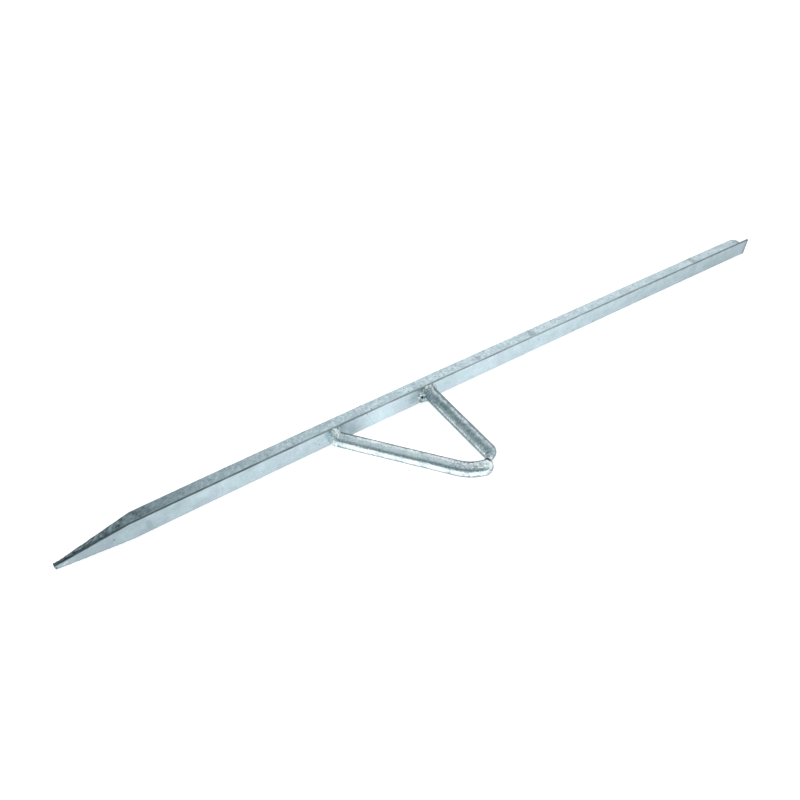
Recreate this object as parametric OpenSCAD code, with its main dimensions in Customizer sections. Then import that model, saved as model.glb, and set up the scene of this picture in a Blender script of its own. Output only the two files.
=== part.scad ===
// Post anchor spike: a pointed tee bar driven into the ground, with a bent tube step
// welded to its flange so that it can be pushed in by foot.
// It lies on its side: X runs from the point to the head, Y from the flange to the web's toe,
// and Z is up. The flange's outer face is the plane Y = 0, and the step stands out towards -Y.
// The origin is the middle of the blunt end of the point, on the flange's outer face.

/* [Tee bar] */
// Length of the bar, from its point to its head
bar_len = 1250; // [900:5:1600]
// Width of the flange
flange_w = 30; // [28:1:50]
// Depth of the section, from the flange's outer face to the web's toe
bar_depth = 30; // [20:1:60]
// Thickness of the flange
flange_t = 4; // [3:0.5:8]
// Thickness of the web
web_t = 4; // [3:0.5:8]
// Radius where the web grows out of the flange
root_r = 4; // [1:0.5:5]
// Radius on the inner edges of the flange
flange_toe_r = 2; // [0.5:0.25:2.5]
// Radius on both edges of the web's toe
web_toe_r = 1; // [0.25:0.25:1.25]
// Radius that takes the corner off the web at the head
head_corner_r = 8; // [2:0.5:14]

/* [Point] */
// Length over which flange and web taper to the point
point_len = 92; // [50:1:200]
// Width of the blunt end
point_w = 8; // [4:0.5:14]
// Height of web that is left at the blunt end
point_web = 2; // [0.5:0.25:6]

/* [Step bracket] */
// Distance from the point to the axis of the tread
tread_x = 534; // [450:1:700]
// Distance from the point to where the strut's axis meets the flange
strut_x = 369.5; // [320:0.5:420]
// Angle between the strut and the bar
strut_angle = 51.4; // [46:0.1:56]
// Outside diameter of the tube
tube_d = 21.3; // [16:0.1:22]
// Wall of the tube
tube_wall = 2; // [1:0.1:3]
// Centre-line radius of the tight bend at the end of the tread
bend_r = 17.5; // [16:0.5:24]
// Centre-line radius of the long curve at the end of the strut
sweep_r = 60; // [40:1:90]
// Angle between the bar and the tube where the two curves meet
sweep_end = 15; // [5:1:30]

/* [Kink in the bend] */
// Heading of the tube where the bend has kinked, measured from the bar
kink_at = 42; // [30:1:55]
// Inward depth of the flattened outer wall, in hundredths of the tube's diameter
flat_share = 42.5; // [15:2.5:45]
// Half the length of the flattened stretch
flat_reach = 21; // [16:0.5:26]
// Extra depth of the crease in the middle of it, in hundredths of the tube's diameter
crease_share = 12.5; // [0:2.5:15]
// Pinch of the top and the bottom at the crease, in hundredths of the tube's diameter
pinch_share = 20; // [0:2.5:25]
// Half the length of the crease
crease_reach = 8; // [5:0.5:12]
// Spread of the flattened tube, above and below, in hundredths of the tube's diameter
spread_share = 10; // [0:2.5:15]
// Half the length over which it spreads
spread_reach = 26; // [20:0.5:28]

/* [Welds] */
// Width of a weld on the flange, beside the tube
weld_side = 4; // [2:0.25:5]
// Width of the tread's weld on the flange, towards the point
tread_weld_heel = 12; // [4:0.5:16]
// Width of the strut's weld on the flange, towards the point
strut_weld_heel = 1.5; // [0.5:0.5:6]
// Height of a weld on the tube
weld_rise = 5; // [3:0.5:10]
// Gap between the strut's square end and the flange, which its weld fills
root_gap = 0.5; // [0.25:0.25:2]

/* [Hidden] */

zinc = "lightsteelblue";
weld_zinc = "lightslategray";
round_fn = 96;
// Angles of a whole turn, of half a turn and of a square corner.
full_turn = 360;
half_turn = 180;
square_on = 90;
per_degree = PI / half_turn;
// Overlap of cutting shapes past the faces that they cut, and a finer one for edges.
over = 1;
eps = 0.01;

tube_r = tube_d / 2;
bore_r = tube_r - tube_wall;
// The rings of the bent stretch stay inside the round legs by this much.
skin_inset = 0.02;

// Depths of the kink's dents, which go with the size of the tube.
flat_depth = tube_d * flat_share / 100;
crease_depth = tube_d * crease_share / 100;
crease_pinch = tube_d * pinch_share / 100;
spread = tube_d * spread_share / 100;
// The bore keeps this share of the dent away from the folded lips of the outer wall.
lip_guard = 0.7;

// Where the two curves of the bracket start and end, worked out from the tread backwards.
bend_start_x = tread_x - bend_r * (1 + sin(sweep_end));
sweep_start_x = bend_start_x + sweep_r * (sin(sweep_end) - sin(strut_angle));
sweep_start_y = -tan(strut_angle) * (sweep_start_x - strut_x);
bend_start_y = sweep_start_y - sweep_r * (cos(sweep_end) - cos(strut_angle));
sweep_mid = [
    bend_start_x + sweep_r * sin(sweep_end),
    bend_start_y + sweep_r * cos(sweep_end)
];
bend_mid = [tread_x - bend_r, bend_start_y + bend_r * cos(sweep_end)];

// Lengths along the curved stretch, counted from the start of the long curve.
sweep_len = sweep_r * (strut_angle - sweep_end) * per_degree;
bend_len = bend_r * (sweep_end + square_on) * per_degree;
kink_s = sweep_len + bend_r * (sweep_end + kink_at) * per_degree;
past_spread = 1;
bent_len = kink_s + spread_reach + past_spread;

// The bent stretch is a skin of rings: sides on each ring, and stations along it.
sides = 24;
sweep_steps = 7;
kink_steps = 32;
fine_from = kink_s - 1.1 * flat_reach;
stations = concat(
    [for (i = [0 : sweep_steps - 1]) fine_from * i / sweep_steps],
    [for (i = [0 : kink_steps]) fine_from + (bent_len - fine_from) * i / kink_steps]
);

// Heading of the tube, in degrees from the bar, at a length s along the bent stretch.
function heading(s) =
    s < sweep_len ? -strut_angle + s / sweep_r / per_degree
    : s < sweep_len + bend_len ? -sweep_end + (s - sweep_len) / bend_r / per_degree
    : square_on;

// Point of the centre line at a length s along the bent stretch.
function centre_line(s) =
    let (a = heading(s))
    s < sweep_len ? sweep_mid + sweep_r * [sin(a), -cos(a)]
    : s < sweep_len + bend_len ? bend_mid + bend_r * [sin(a), -cos(a)]
    : [tread_x, bend_mid[1] + s - sweep_len - bend_len];

// Smooth rise and fall: 1 at the kink, 0 from the given reach on. A higher power is flatter.
function swell(s, reach, power) =
    let (u = abs(s - kink_s) / reach)
    u < 1 ? pow(1 - pow(u, power), 2) : 0;

// One ring of a skin of radius r. The bore has a guard, so that the wall stays whole where
// the outer skin folds.
function ring(s, r, guard) =
    let (
        a = heading(s),
        c = centre_line(s),
        outward = [sin(a), -cos(a)],
        dent = flat_depth * swell(s, flat_reach, 4) + crease_depth * swell(s, crease_reach, 2),
        tall = spread * swell(s, spread_reach, 2) - crease_pinch * swell(s, crease_reach, 2)
    )
    [for (i = [0 : sides - 1])
        let (
            t = full_turn * i / sides,
            k = max(0, cos(t)),
            p = c + outward * (r * cos(t) - dent * (k * k + guard * k * (1 - k)))
        )
        [p[0], p[1], (r + tall) * sin(t)]
    ];

// A solid of rings of radius r, carried on past both ends of the bent stretch by extra.
module bent_solid(r, guard, extra) {
    lengths = concat([-extra], stations, [bent_len + extra]);
    rows = len(lengths);
    walls = [
        for (j = [0 : rows - 2], i = [0 : sides - 1])
        let (
            k = (i + 1) % sides,
            p = j * sides + i,
            q = j * sides + k
        )
        each [[p, q, q + sides], [p, q + sides, p + sides]]
    ];
    first_end = [[for (i = [sides - 1 : -1 : 0]) i]];
    last_end = [[for (i = [0 : sides - 1]) (rows - 1) * sides + i]];
    polyhedron(
        points = [for (s = lengths) each ring(s, r - skin_inset, guard)],
        faces = concat(walls, first_end, last_end),
        convexity = 6
    );
}

// A straight round bar from one point of the plane Z = 0 to another.
module straight_bar(from, to, r) {
    run = to - from;
    translate([from[0], from[1], 0])
        rotate([0, 0, atan2(run[1], run[0])])
            rotate([0, square_on, 0])
                cylinder(r = r, h = norm(run), $fn = round_fn);
}

// The strut is cut square, so that only one side of its end comes near the flange. The tread
// stands square to the flange and sits flat on it.
strut_dir = [cos(strut_angle), -sin(strut_angle)];
strut_set = tube_r / tan(strut_angle) + root_gap / sin(strut_angle);
strut_foot = [strut_x, 0] + strut_dir * strut_set;
tread_foot = [tread_x, 0];
tread_start = centre_line(bent_len);
// How far the bore's skin runs on into the round legs.
skin_run_on = 0.5;

// The whole bracket as a solid of radius r. Its skin runs on into the round legs by extra, and
// its legs run on past their feet by run_past.
module bracket_solid(r, guard, extra, run_past) {
    straight_bar(strut_foot - strut_dir * run_past, [sweep_start_x, sweep_start_y], r);
    bent_solid(r, guard, extra);
    straight_bar(tread_start, tread_foot + [0, run_past], r);
}

// The section, with its depth along x and its width along y.
module tee_profile() {
    half = flange_w / 2;
    difference() {
        union() {
            translate([0, -half])
                square([flange_t, flange_w]);
            translate([0, -web_t / 2])
                square([bar_depth, web_t]);
            translate([flange_t, -web_t / 2 - root_r])
                square([root_r, web_t + 2 * root_r]);
        }
        for (side = [-1, 1]) {
            translate([flange_t + root_r, side * (web_t / 2 + root_r)])
                circle(r = root_r, $fn = round_fn);
            translate([flange_t, side * half])
                edge_waste(flange_toe_r, side);
            translate([bar_depth, side * web_t / 2])
                edge_waste(web_toe_r, side);
        }
    }
}

// What a radius takes off a square corner that lies at the origin, with the metal on the
// side of -x, and below the corner where side is 1 or above it where side is -1.
module edge_waste(r, side) {
    difference() {
        translate([-r, side > 0 ? -r : -eps])
            square([r + eps, r + eps]);
        translate([-r, -side * r])
            circle(r = r, $fn = round_fn);
    }
}

module tee_bar() {
    half = flange_w / 2;
    color(zinc)
    difference() {
        rotate([square_on, 0, square_on])
            linear_extrude(height = bar_len)
                tee_profile();
        // both edges of the flange, tapered to the point
        for (side = [-1, 1]) {
            translate([0, bar_depth + over, 0])
                rotate([square_on, 0, 0])
                    linear_extrude(height = bar_depth + 2 * over)
                        polygon([
                            [-over, side * half_width_at(-over)],
                            [point_len, side * half],
                            [point_len, side * (half + over)],
                            [-over, side * (half + over)]
                        ]);
        }
        // the web, tapered to the point
        translate([0, 0, -flange_w])
            linear_extrude(height = 2 * flange_w)
                polygon([
                    [-over, web_height_at(-over)],
                    [point_len, bar_depth],
                    [point_len, bar_depth + over],
                    [-over, bar_depth + over]
                ]);
        // the corner of the web at the head
        translate([bar_len, bar_depth, -web_t])
            linear_extrude(height = 2 * web_t)
                edge_waste(head_corner_r, 1);
    }
}

// Half the flange's width, and the web's height, at a distance x from the point.
function half_width_at(x) =
    point_w / 2 + (flange_w - point_w) / 2 * x / point_len;
function web_height_at(x) =
    flange_t + point_web + (bar_depth - flange_t - point_web) * x / point_len;

module step_tube() {
    color(zinc)
    difference() {
        bracket_solid(tube_r, 0, eps, 0);
        bracket_solid(bore_r, lip_guard, skin_run_on, over);
    }
}

// One half of a fillet weld round a leg, above or below the middle plane. It also fills the
// wedge between the leg's square end and the flange.
// end is the middle of the leg's end, lean is the leg's angle to the bar, and heel is the
// weld's width on the side of the point.
weld_steps = 16;
weld_arc = 5;
weld_sag = 0.3;
weld_edge = 0.25;
// The bead is made as a ring that reaches into the tube, and the tube's shape is cut from it.
weld_bite = 0.96;
weld_core = 0.7;
// Outward swell of a weld, as a share of the wedge's depth.
wedge_swell = 0.2;

function weld_width(t, heel) =
    let (
        side = min(weld_side, flange_w / 2 - tube_r - weld_edge),
        back = pow(max(0, -cos(t)), 2)
    )
    side + (heel - side) * back;

function weld_section(t, end, lean, heel) =
    let (
        axis = [end[0], end[1], 0],
        spoke = tube_r * [sin(lean) * cos(t), cos(lean) * cos(t), sin(t)],
        rim = axis + spoke,
        foot = [rim[0], 0, rim[2]],
        core = axis + spoke * weld_core,
        core_foot = [core[0], 0, core[2]],
        rise = [cos(lean), -sin(lean), 0] * weld_rise,
        away = [cos(t), 0, sin(t)],
        toe = foot + away * weld_width(t, heel),
        top = axis + spoke * weld_bite + rise,
        sag = rim + weld_sag * (toe - foot + top - rim) + away * wedge_swell * norm(foot - rim)
    )
    concat(
        [for (k = [0 : weld_arc])
            let (u = k / weld_arc)
            pow(1 - u, 2) * toe + 2 * u * (1 - u) * sag + u * u * top
        ],
        [core + rise, core_foot]
    );

module half_weld(end, lean, heel, above) {
    count = weld_arc + 3;
    points = [
        for (i = [0 : weld_steps])
            each weld_section(half_turn * (i / weld_steps + (above ? 0 : 1)), end, lean, heel)
    ];
    sides_of_weld = [
        for (j = [0 : weld_steps - 1], i = [0 : count - 1])
        let (
            k = (i + 1) % count,
            p = j * count + i,
            q = j * count + k
        )
        each [[p, q, q + count], [p, q + count, p + count]]
    ];
    first_end = [[for (i = [count - 1 : -1 : 0]) i]];
    last_end = [[for (i = [0 : count - 1]) weld_steps * count + i]];
    color(weld_zinc)
    difference() {
        polyhedron(points = points, faces = concat(sides_of_weld, first_end, last_end), convexity = 4);
        translate([end[0], end[1], 0])
            rotate([0, 0, -lean])
                rotate([0, square_on, 0])
                    cylinder(r = tube_r, h = 2 * tube_d, $fn = round_fn);
    }
}

module tread_weld_upper() {
    half_weld(tread_foot, square_on, tread_weld_heel, true);
}

module tread_weld_lower() {
    half_weld(tread_foot, square_on, tread_weld_heel, false);
}

module strut_weld_upper() {
    half_weld(strut_foot, strut_angle, strut_weld_heel, true);
}

module strut_weld_lower() {
    half_weld(strut_foot, strut_angle, strut_weld_heel, false);
}

tee_bar();
step_tube();
tread_weld_upper();
tread_weld_lower();
strut_weld_upper();
strut_weld_lower();
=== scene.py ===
# %% [markdown]
# # Post anchor spike
# A post anchor spike is a pointed tee bar that is pushed into the ground by foot. A piece of
# round tube, bent to a V and welded to the bar's flange, makes the step. The whole part is
# hot-dip galvanised: after welding it is dipped in molten zinc, which leaves a bright, slightly
# wavy coat with lumps at the edges and dull patches.
#
# The first cell loads the finished construction as a fixed frame. Nothing in this file moves or
# resizes it. Each piece below is a better-looking skin that stands in the same place.

import math

import bmesh
import bpy
import numpy as np
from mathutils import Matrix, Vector, noise


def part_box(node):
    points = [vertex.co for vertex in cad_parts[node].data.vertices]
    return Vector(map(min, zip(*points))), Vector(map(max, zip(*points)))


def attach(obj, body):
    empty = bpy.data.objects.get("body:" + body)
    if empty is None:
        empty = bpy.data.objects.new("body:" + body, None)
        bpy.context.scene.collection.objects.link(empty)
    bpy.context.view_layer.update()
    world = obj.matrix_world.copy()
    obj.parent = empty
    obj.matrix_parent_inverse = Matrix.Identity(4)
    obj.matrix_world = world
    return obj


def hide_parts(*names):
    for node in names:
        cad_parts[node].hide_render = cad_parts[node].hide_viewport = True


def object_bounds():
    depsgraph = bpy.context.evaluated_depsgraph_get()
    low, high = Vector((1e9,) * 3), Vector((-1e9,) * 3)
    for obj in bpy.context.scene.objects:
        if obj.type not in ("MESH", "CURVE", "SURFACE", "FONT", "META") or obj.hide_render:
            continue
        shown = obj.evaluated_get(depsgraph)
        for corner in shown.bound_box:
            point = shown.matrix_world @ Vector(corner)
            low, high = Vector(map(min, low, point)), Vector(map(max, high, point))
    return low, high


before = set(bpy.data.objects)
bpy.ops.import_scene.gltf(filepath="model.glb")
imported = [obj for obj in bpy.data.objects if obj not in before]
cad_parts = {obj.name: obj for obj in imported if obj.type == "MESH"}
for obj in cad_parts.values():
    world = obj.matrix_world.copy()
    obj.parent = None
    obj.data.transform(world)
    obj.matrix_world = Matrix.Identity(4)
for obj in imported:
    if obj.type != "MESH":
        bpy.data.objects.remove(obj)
cad_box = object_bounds()
MM = 0.001
print("nodes:", sorted(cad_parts))

# %% [markdown]
# ## Sizes
# The bar's own box gives its length, width and depth, so they never have to be typed twice. The
# tube's route is repeated from the construction, in millimetres, because a route can't be read
# from a box. Only the web's slope at the point is a little longer here than the flange's.

# %% Sizes of the bar and the route of the tube
bar_high = Vector(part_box("tee_bar")[1]) / MM
TUBE_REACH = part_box("step_tube")[0].y / MM
BAR_LEN = bar_high.x
HALF_FLANGE = bar_high.z
WEB_HEIGHT = bar_high.y
FLANGE_T = 4.0
HALF_WEB = 2.0
ROOT_R = 4.0
CORNER_R = 1.5
TOE_R = 2.0
HEAD_CORNER_R = 8.0
POINT_LEN = 92.0
WEB_POINT_LEN = 98.0
POINT_HALF_W = 4.0
POINT_HEIGHT = 6.0

TUBE_R = 10.65
TREAD_X = 534.0
STRUT_X = 369.5
STRUT_ANGLE = math.radians(51.4)
ROOT_GAP = 0.5
BEND_R = 17.5
SWEEP_R = 60.0
SWEEP_END = math.radians(15.0)
KINK_AT = math.radians(43.0)
print("bar", round(BAR_LEN), "x", round(2 * HALF_FLANGE), "x", round(WEB_HEIGHT), "mm")


# %% [markdown]
# ## Lumps of zinc
# Zinc runs off the steel in slow waves and sets unevenly. Smooth noise makes such waves: it gives
# a value between -1 and 1 that changes gently from place to place, and is the same on each run.
# Adding several sizes of wave looks more natural than one.

# %% Waves of the coat
def wave(point, size, seed=0.0):
    """Smooth noise of one wave length, in millimetres."""
    return noise.noise(Vector(point) / size + Vector((seed, 0.37 * seed, -0.71 * seed)))


def coat(point, seed=0.0):
    """Waves of three sizes, from 0 to about 1."""
    waves = 0.55 * wave(point, 17.0, seed)
    waves += 0.3 * wave(point, 6.0, seed + 5)
    waves += 0.15 * wave(point, 2.5, seed + 9)
    return min(1.0, max(0.0, 0.5 + waves))


def fade(x, start, end):
    """A smooth step from 0 at start to 1 at end."""
    u = min(1.0, max(0.0, (x - start) / (end - start)))
    return u * u * (3 - 2 * u)


print("coat every 10 mm:", [round(coat((x, 0.0, 0.0)), 2) for x in range(0, 50, 10)])


# %% [markdown]
# ## Skins made of rings
# Bar and tube are both long things with a section that changes slowly, so each is a stack of
# rings: the same number of points on each ring, joined to the next ring by four-sided faces, and
# closed with a cap at both ends. That keeps control of each edge, where a block with modifiers
# would not.
#
# Each point also carries two numbers between 0 and 1, as a painter's mask. The first says how
# clean and mirror-like the zinc is there, and on the bar's flange it also holds painted reflections.
# The second marks dark cut edges, pits and burrs, and also the painted dark line on the bar's
# rounded corner. The materials read them as attributes, so the marks stay on the metal wherever it
# is seen from.

# %% Join rings to a closed skin
def skin(name, rings, loop=False, **masks):
    """A closed mesh object from rings of points in millimetres, with a mask value per point."""
    count = len(rings[0])
    points = np.array(rings, dtype=float).reshape(-1, 3) * MM
    faces = []
    turns = len(rings) if loop else len(rings) - 1
    for j in range(turns):
        a, b = j * count, (j + 1) % len(rings) * count
        for i in range(count):
            k = (i + 1) % count
            faces.append((a + i, a + k, b + k, b + i))
    if not loop:
        faces.append(tuple(range(count - 1, -1, -1)))
        faces.append(tuple((len(rings) - 1) * count + i for i in range(count)))
    mesh = bpy.data.meshes.new(name)
    mesh.from_pydata(points.tolist(), [], faces)
    for mask, values in masks.items():
        layer = mesh.attributes.new(mask, "FLOAT", "POINT")
        layer.data.foreach_set("value", np.array(values, dtype=float).reshape(-1))
    mesh.polygons.foreach_set("use_smooth", [True] * len(mesh.polygons))
    piece = bpy.data.objects.new(name, mesh)
    bpy.context.scene.collection.objects.link(piece)
    return piece


def turn_outward(piece):
    """Makes all faces of a closed mesh look outwards."""
    bm = bmesh.new()
    bm.from_mesh(piece.data)
    bmesh.ops.recalc_face_normals(bm, faces=bm.faces)
    bm.to_mesh(piece.data)
    bm.free()
    print(piece.name, len(piece.data.polygons), "faces")


print("masks on every skin: shine, stain")


# %% [markdown]
# ## The section of the bar
# The rolled tee has outer corners that the zinc rounds off, a soft inner edge on the flange, a
# hollow root where the web starts, and a web with small roundings at its toe. The section is
# drawn for one side, from the middle of the flange's outer face round to the web's toe, and
# mirrored for the other. Near the point it gets narrower and lower, until the flange is no wider
# than the root.

# %% Arcs and lines of the section
def arc(cy, cz, r, start, end, steps):
    """Points on an arc in the section plane, without its first point."""
    span = [start + (end - start) * i / steps for i in range(1, steps + 1)]
    return [(cy + r * math.cos(a), cz + r * math.sin(a)) for a in span]


def line(a, b, steps):
    """Points on a straight line, without its first point."""
    shares = [i / steps for i in range(1, steps + 1)]
    return [(a[0] + (b[0] - a[0]) * u, a[1] + (b[1] - a[1]) * u) for u in shares]


print("quarter of a circle in two steps:", arc(0, 0, 1, 0, math.pi / 2, 2))

# %% [markdown]
# ## The hollow root
# Rolls can't leave a sharp inner corner, so the flange runs into the web in a quarter of a circle.
# Near the point there is no room for all of it, and the arc is cut short at both ends.

# %% The root's hollow
ROOT_STEPS = 8


def root_height(z):
    """Height of the root's hollow at a distance z from the middle."""
    out = HALF_WEB + ROOT_R - z
    return FLANGE_T + ROOT_R - math.sqrt(max(0.0, ROOT_R**2 - out**2)) if out > 0 else FLANGE_T


def root_arc(toe_z, top_y):
    """The hollow root, cut short near the point where the flange and the web leave it less room."""
    mid_y, mid_z = FLANGE_T + ROOT_R, HALF_WEB + ROOT_R
    start_z = min(mid_z, toe_z - 0.3)
    end_y = min(mid_y, top_y - 0.4)
    start = math.asin(min(1.0, (mid_z - start_z) / ROOT_R))
    end = math.acos(min(1.0, max(0.0, (mid_y - end_y) / ROOT_R)))
    end = max(end, start + 0.05)
    angles = [start + (end - start) * i / ROOT_STEPS for i in range(ROOT_STEPS + 1)]
    return [(mid_y - ROOT_R * math.cos(a), mid_z - ROOT_R * math.sin(a)) for a in angles]


print("the root reaches", root_height(HALF_WEB) - FLANGE_T, "mm up the web")

# %% [markdown]
# ## The whole section
# The half runs from the middle of the outer face over the corner, the edge, the flange's soft toe
# and the root to the web's toe. The number of points on each stretch is the same on every ring,
# so that rings of different size can still be joined.

# %% Half of the section, and its mirror image
FACE_STEPS, CORNER_STEPS, EDGE_STEPS, TOE_STEPS = 16, 6, 4, 5
INNER_STEPS, WEB_STEPS, WEB_TOE_STEPS, WEB_END_STEPS = 6, 18, 4, 2
WEB_TOE_R = 1.0


def half_section(half_w, height, toe_r):
    """Points from the middle of the outer face to the middle of the web's toe."""
    quarter = math.pi / 2
    toe_r = min(toe_r, 0.45 * half_w)
    toe_z = half_w - toe_r
    toe_y = root_height(toe_z) - toe_r
    pts = [(0.0, 0.0)]
    pts += line(pts[-1], (0.0, half_w - CORNER_R), FACE_STEPS)
    pts += arc(CORNER_R, half_w - CORNER_R, CORNER_R, 2 * quarter, quarter, CORNER_STEPS)
    pts += line(pts[-1], (toe_y, half_w), EDGE_STEPS)
    pts += arc(toe_y, toe_z, toe_r, quarter, 0.0, TOE_STEPS)
    top_r = min(WEB_TOE_R, 0.25 * height)
    hollow = root_arc(toe_z, height - top_r)
    pts += line(pts[-1], hollow[0], INNER_STEPS) + hollow[1:]
    root_end_y, root_end_z = hollow[-1]
    side_z = root_end_z - 0.02
    top_y = max(height - top_r, root_end_y + 0.1)
    pts += line(pts[-1], (top_y, side_z), WEB_STEPS)
    pts += arc(top_y, side_z - top_r, top_r, quarter, 0.0, WEB_TOE_STEPS)
    pts += line(pts[-1], (top_y + top_r, 0.0), WEB_END_STEPS)
    return pts


def whole_section(half):
    """The half and its mirror image, as one closed ring."""
    return half + [(y, -z) for y, z in half[-2:0:-1]]


SECTION_COUNT = len(whole_section(half_section(HALF_FLANGE, WEB_HEIGHT, TOE_R)))
print("points on a ring:", SECTION_COUNT)

# %% [markdown]
# ## The tee bar
# The bar tapers to a blunt point, and the web's corner at the head is rounded. A rolled bar is
# never quite straight, and the heat of the zinc bath bows it a little more, so both ends lean a
# few millimetres towards the step. The rings could stand at equal steps, but a taper, a rounded
# corner and a cut end each need them closer together, so each stretch has its own step.

# %% Stations along the bar
BOW_MIDDLE, BOW_AT_POINT, BOW_AT_HEAD = 480.0, 5.0, 2.7


def bow(x):
    """How far the bar leans towards the step at x."""
    if x < BOW_MIDDLE:
        return BOW_AT_POINT * (1 - x / BOW_MIDDLE) ** 2
    return BOW_AT_HEAD * ((x - BOW_MIDDLE) / (BAR_LEN - BOW_MIDDLE)) ** 2


def taper(x):
    """Half the flange's width and the web's height at x."""
    u = min(1.0, x / POINT_LEN)
    half_w = POINT_HALF_W + (HALF_FLANGE - POINT_HALF_W) * u
    height = POINT_HEIGHT + (WEB_HEIGHT - POINT_HEIGHT) * min(1.0, x / WEB_POINT_LEN)
    past = x - (BAR_LEN - HEAD_CORNER_R)
    if past > 0:
        height -= HEAD_CORNER_R - math.sqrt(max(0.0, HEAD_CORNER_R**2 - past**2))
    return half_w, height


END_R = 0.6
TIP_STEP, TAPER_STEP, BAR_STEP = 0.6, 1.0, 1.6
head_start = BAR_LEN - HEAD_CORNER_R

stations = [0.0, 0.15, 0.35, END_R] + [1.0 + TIP_STEP * i for i in range(40)]
stations += list(np.arange(stations[-1] + TAPER_STEP, 1.4 * POINT_LEN, TAPER_STEP))
stations += list(np.arange(stations[-1] + BAR_STEP, head_start - 1, BAR_STEP))
stations += [head_start + HEAD_CORNER_R * math.sin(math.radians(a)) for a in range(0, 86, 5)]
stations += [BAR_LEN - 0.02]


def end_sink(x):
    """How far the edges are rounded off near both ends."""
    near = min(x, BAR_LEN - x)
    return END_R - math.sqrt(max(0.0, END_R**2 - (END_R - near) ** 2)) if near < END_R else 0.0


print(len(stations), "rings along the bar")


# %% [markdown]
# ## Marks on the bar
# The flange's face is painted brightest in the middle of the bar and darker towards both ends.
# This is a painted reflection: the face mirrors the floor in front of it, and that reflection is
# brightest in the middle. Beside the strut's weld and on the point's side of the tread's weld the
# face is darker again, as painted reflections of the tube and of the strut's shadow. The other marks
# are of the real process: a grey smear near the point, faint bands where the bar lay on others, and
# rough dark edges where the point was cut. They could be painted on an image, but an image has to
# be unwrapped and its marks lose their edges close up. Here each mark is a soft spot with a place,
# a size and a strength, and a few curves of shine run along the bar.

# %% Shine of the bar
# place along the bar, shine; a painted reflection, brightest in the middle where the face mirrors the
# brightest floor, with dips where it mirrors the tube
FACE_SHINE_AND_REFLECTION = ((0, 0.05), (60, 0.05), (130, 0.22), (200, 0.42), (300, 0.46), (345, 0.48), (375, 0.48))
FACE_SHINE_AND_REFLECTION += ((400, 0.20), (450, 0.86), (500, 0.48), (560, 0.50), (620, 0.70), (700, 0.56), (800, 0.54))
FACE_SHINE_AND_REFLECTION += ((900, 0.36), (1100, 0.14), (1200, 0.04), (1250, -0.05))
WEB_SHINE = ((0, 0.25), (90, 0.25), (130, 0.35), (200, 0.62), (700, 0.70), (1100, 0.60), (1250, 0.50))
# place along the bar, place across it, half length, half width, strength
FACE_MARKS_AND_REFLECTIONS = (
    (112.8, -1.0, 4.5, 9.0, -0.30),
    (12.0, 1.2, 4.5, 1.6, 0.95),
    (69.7, 0.5, 2.2, 2.0, -0.30),
    # painted reflection of the strut and its shadow, beside the strut's weld
    (389.0, 6.0, 8.0, 12.0, -0.45),
    # painted reflection of the tread, beside the tread's weld
    (511.0, 1.0, 13.0, 15.0, -0.45),
    (1226.0, 7.0, 18.0, 10.0, -0.20),
    # painted reflection of the strut and its shadow
    (405.0, 0.0, 16.0, 16.0, -0.25),
    (822.0, -11.0, 5.0, 5.0, -0.30),
    (867.0, -11.0, 4.0, 5.0, -0.30),
    (1231.0, 1.0, 4.0, 4.0, -0.15),
)
# place along the web, half length, strength
WEB_MARKS = ((747.0, 8.0, -0.5), (1128.0, 8.0, -0.5), (640.0, 5.0, -0.3), (300.0, 9.0, 0.2))
ON_WEB = FLANGE_T + 1.5
WEB_MARK_Y, WEB_MARK_FADE = 20.0, 0.02


def spot(u, v):
    """A soft round spot: 1 in the middle, and 0 from a distance of 1."""
    return max(0.0, 1 - u * u - v * v) ** 1.2


def bar_shine(x, y, z):
    """How clean the zinc is at a place on the web or on the flange, with painted reflections on the
    flange's face.
    """
    if y > ON_WEB:
        shine = float(np.interp(x, *zip(*WEB_SHINE)))
        for place, half_x, strength in WEB_MARKS:
            shine += strength * spot((x - place) / half_x, WEB_MARK_FADE * (y - WEB_MARK_Y))
        shine += 0.25 * wave((0.4 * x, y, z), 9.0, 17)
        mottle = 0.48 * wave((x, y, z), 4.5, 19) + 0.38 * wave((x, y, z), 2.4, 21)
        return shine + mottle * (1 - 0.5 * fade(x, 800, 1100))
    shine = float(np.interp(x, *zip(*FACE_SHINE_AND_REFLECTION)))
    for place, across, half_x, half_z, strength in FACE_MARKS_AND_REFLECTIONS:
        edge = 0.25 * wave((x, y, z), 3.5, 31)
        shine += strength * spot((x - place) / half_x + edge, (z - across) / half_z + edge)
    return shine + 0.12 * wave((0.5 * x, y, z), 14.0, 23)


print(len(FACE_MARKS_AND_REFLECTIONS) + len(WEB_MARKS), "marks on the bar")

# %% [markdown]
# ## Dark edges of the bar
# The dark line on the rounded outer corner is a painted reflection: it stands for the dark side of
# the room that the corner mirrors, and its strength changes along the bar. A cut edge takes the coat
# badly and is dark near the point, and the flange's edge and the web's toe are a little darker along
# the whole bar. A point's number on its ring tells where it is, because corner, edge and web always
# have the same numbers.
# Waves break the dark lines up, or they would look drawn with a ruler.

# %% Stain of the bar
CORNER_END = FACE_STEPS + CORNER_STEPS
EDGE_END = CORNER_END + EDGE_STEPS + TOE_STEPS
WEB_EDGE_START = SECTION_COUNT // 2 - WEB_TOE_STEPS - WEB_END_STEPS
# the flange's edge and the web's toe are a little darker along the whole bar
EDGE_DARKENING = 0.25
# where along the bar the dark edge, the rough web and the torn edge fade out
DARK_EDGE, ROUGH_WEB, TORN_EDGE = (62, 96), (60, 190), (60, 100)


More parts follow.
